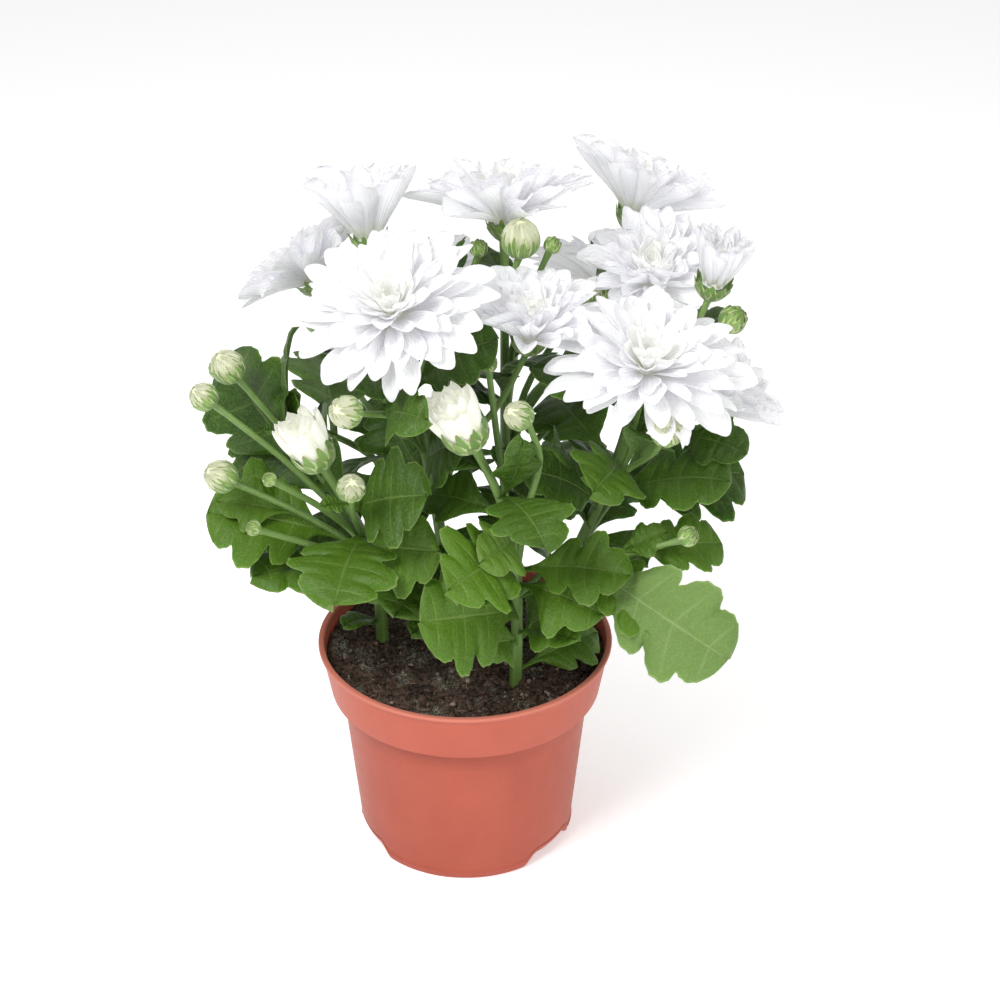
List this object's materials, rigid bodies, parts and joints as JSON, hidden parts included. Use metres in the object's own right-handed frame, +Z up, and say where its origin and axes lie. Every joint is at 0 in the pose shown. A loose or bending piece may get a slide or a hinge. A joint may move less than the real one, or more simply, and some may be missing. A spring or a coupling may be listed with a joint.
{
  "type": "pot chrysanthemum",
  "caption": "White double chrysanthemum with lobed leaves, buds and branching stems, growing in a round terracotta-coloured plastic pot.",
  "frame": {"origin": "centre of the pot's flat bottom, on the pot's axis, at the surface that it stands on", "axes": "+Z up along the pot's axis and the plant, -Y to the front, +X to the right seen from the front"},
  "size_m": [0.224, 0.2017, 0.2882],
  "materials": {
    "terracotta_plastic": "satin",
    "peat": "matte",
    "leaf_green": "matte",
    "petal_white": "matte",
    "bud_cream": "matte"
  },
  "bodies": {
    "root": {"bloom_01": "petal_white", "bloom_02": "petal_white", "bloom_03": "petal_white", "bloom_04": "petal_white", "bloom_05": "petal_white", "bloom_06": "petal_white", "bloom_07": "petal_white", "bloom_08": "petal_white", "bloom_09": "petal_white", "bloom_10": "petal_white", "bloom_11": "petal_white", "bloom_12": "petal_white", "bud_01": "bud_cream", "bud_02": "bud_cream", "bud_03": "bud_cream", "bud_04": "bud_cream", "bud_05": "bud_cream", "bud_06": "bud_cream", "bud_07": "bud_cream", "bud_08": "bud_cream", "bud_09": "bud_cream", "bud_10": "bud_cream", "bud_11": "bud_cream", "bud_12": "bud_cream", "bud_13": "bud_cream", "leafy_stem_back_left": "leaf_green", "leafy_stem_back_right": "leaf_green", "leafy_stem_centre": "leaf_green", "leafy_stem_front": "leaf_green", "leafy_stem_left": "leaf_green", "leafy_stem_right": "leaf_green", "pot": "terracotta_plastic", "soil": "peat"}
  },
  "joints": []
}
